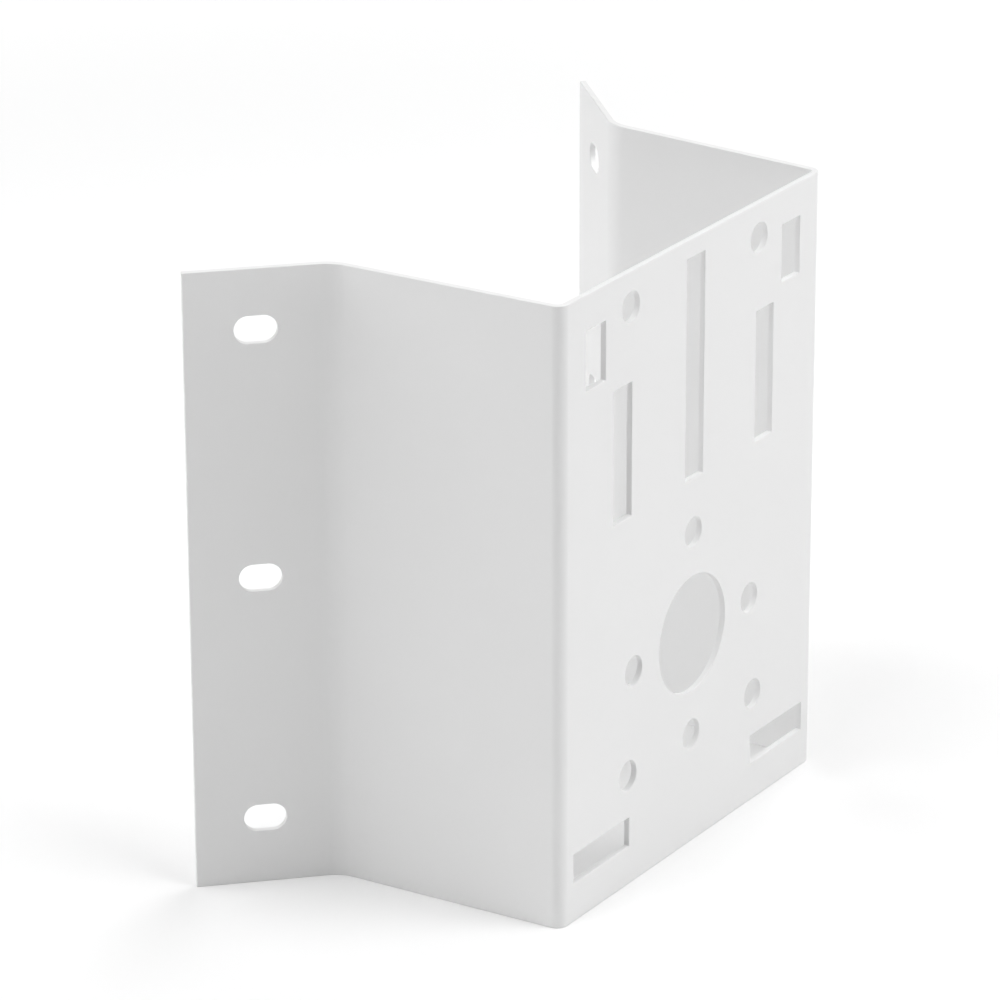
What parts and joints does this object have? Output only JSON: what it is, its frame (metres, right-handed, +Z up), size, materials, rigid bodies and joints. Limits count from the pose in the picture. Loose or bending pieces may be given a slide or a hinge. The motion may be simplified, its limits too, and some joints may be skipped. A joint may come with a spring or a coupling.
{
  "type": "camera corner mount bracket",
  "caption": "Folded white sheet-metal bracket that carries a camera on an outside building corner, with a punched front plate and two slotted 45 degree flanges.",
  "frame": {"origin": "on the ground under the middle of the bounding box", "axes": "+Z up along the folds, -Y out of the front plate towards the camera, +Y towards the building corner, +X to the right seen from behind the corner"},
  "size_m": [0.2758, 0.139, 0.25],
  "materials": {
    "white_coat": "satin"
  },
  "bodies": {
    "root": {"corner_bracket": "white_coat"}
  },
  "joints": []
}
